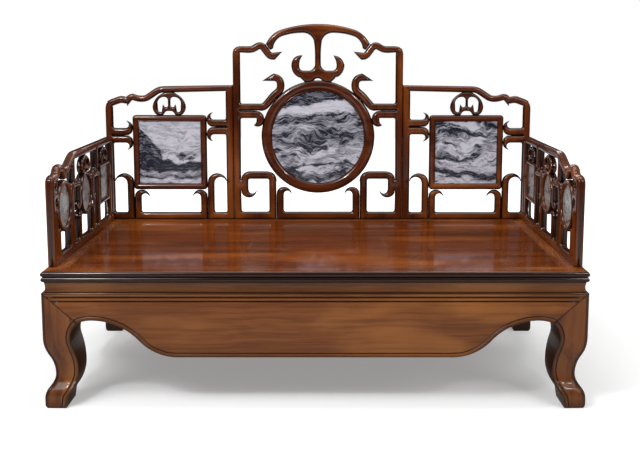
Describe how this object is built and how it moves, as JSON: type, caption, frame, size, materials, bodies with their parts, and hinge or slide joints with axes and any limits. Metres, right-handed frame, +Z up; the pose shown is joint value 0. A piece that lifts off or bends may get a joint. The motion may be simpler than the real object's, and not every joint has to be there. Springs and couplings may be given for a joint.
{
  "type": "luohan daybed",
  "caption": "Hardwood daybed on cabriole legs with a waisted platform and lift-off railings of scrolled fretwork holding round and square veined stone plaques",
  "frame": {"origin": "on the floor under the middle of the seat", "axes": "+X along the seat to the right seen from the front, +Y to the back, +Z up"},
  "size_m": [1.84, 1.02, 1.3193],
  "materials": {
    "hardwood": "polished hardwood, satin to gloss",
    "railing_wood": "dark red-brown polished hardwood",
    "veined_stone": "honed grey veined marble"
  },
  "bodies": {
    "bed": {"seat_boards": "hardwood", "seat_battens": "hardwood", "seat_rail_front": "hardwood", "seat_rail_back": "hardwood", "seat_end_left": "hardwood", "seat_end_right": "hardwood", "waist_boards": "hardwood", "apron_front": "hardwood", "apron_back": "hardwood", "apron_left": "hardwood", "apron_right": "hardwood", "leg_front_left": "hardwood", "leg_front_right": "hardwood", "leg_back_left": "hardwood", "leg_back_right": "hardwood"},
    "back_centre": {"back_centre_stiles": "railing_wood", "back_centre_shoulders": "railing_wood", "back_centre_crest": "railing_wood", "back_centre_cloud": "railing_wood", "back_centre_ring": "railing_wood", "back_centre_stone": "veined_stone", "back_centre_tendrils": "railing_wood", "back_centre_hooks": "railing_wood", "back_centre_frets": "railing_wood", "back_centre_cradle": "railing_wood"},
    "back_left": {"back_left_stiles": "railing_wood", "back_left_top_rail": "railing_wood", "back_left_frame": "railing_wood", "back_left_stone": "veined_stone", "back_left_cloud": "railing_wood", "back_left_loops": "railing_wood", "back_left_hooks": "railing_wood", "back_left_cradle": "railing_wood"},
    "back_right": {"back_right_stiles": "railing_wood", "back_right_top_rail": "railing_wood", "back_right_frame": "railing_wood", "back_right_stone": "veined_stone", "back_right_cloud": "railing_wood", "back_right_loops": "railing_wood", "back_right_hooks": "railing_wood", "back_right_cradle": "railing_wood"},
    "arm_left": {"arm_left_posts": "railing_wood", "arm_left_top_rail": "railing_wood", "arm_left_bottom_rail": "railing_wood", "arm_left_rings": "railing_wood", "arm_left_frame": "railing_wood", "arm_left_stones": "veined_stone", "arm_left_clouds": "railing_wood", "arm_left_loops": "railing_wood", "arm_left_hooks": "railing_wood"},
    "arm_right": {"arm_right_posts": "railing_wood", "arm_right_top_rail": "railing_wood", "arm_right_bottom_rail": "railing_wood", "arm_right_rings": "railing_wood", "arm_right_frame": "railing_wood", "arm_right_stones": "veined_stone", "arm_right_clouds": "railing_wood", "arm_right_loops": "railing_wood", "arm_right_hooks": "railing_wood"}
  },
  "joints": [
    {"name": "lift_back_centre", "type": "slide", "parent": "bed", "child": "back_centre", "axis": [0, 0, 1], "range_m": [0, 0.04]},
    {"name": "lift_back_left", "type": "slide", "parent": "bed", "child": "back_left", "axis": [0, 0, 1], "range_m": [0, 0.04]},
    {"name": "lift_back_right", "type": "slide", "parent": "bed", "child": "back_right", "axis": [0, 0, 1], "range_m": [0, 0.04]},
    {"name": "lift_arm_left", "type": "slide", "parent": "bed", "child": "arm_left", "axis": [0, 0, 1], "range_m": [0, 0.04]},
    {"name": "lift_arm_right", "type": "slide", "parent": "bed", "child": "arm_right", "axis": [0, 0, 1], "range_m": [0, 0.04]}
  ]
}
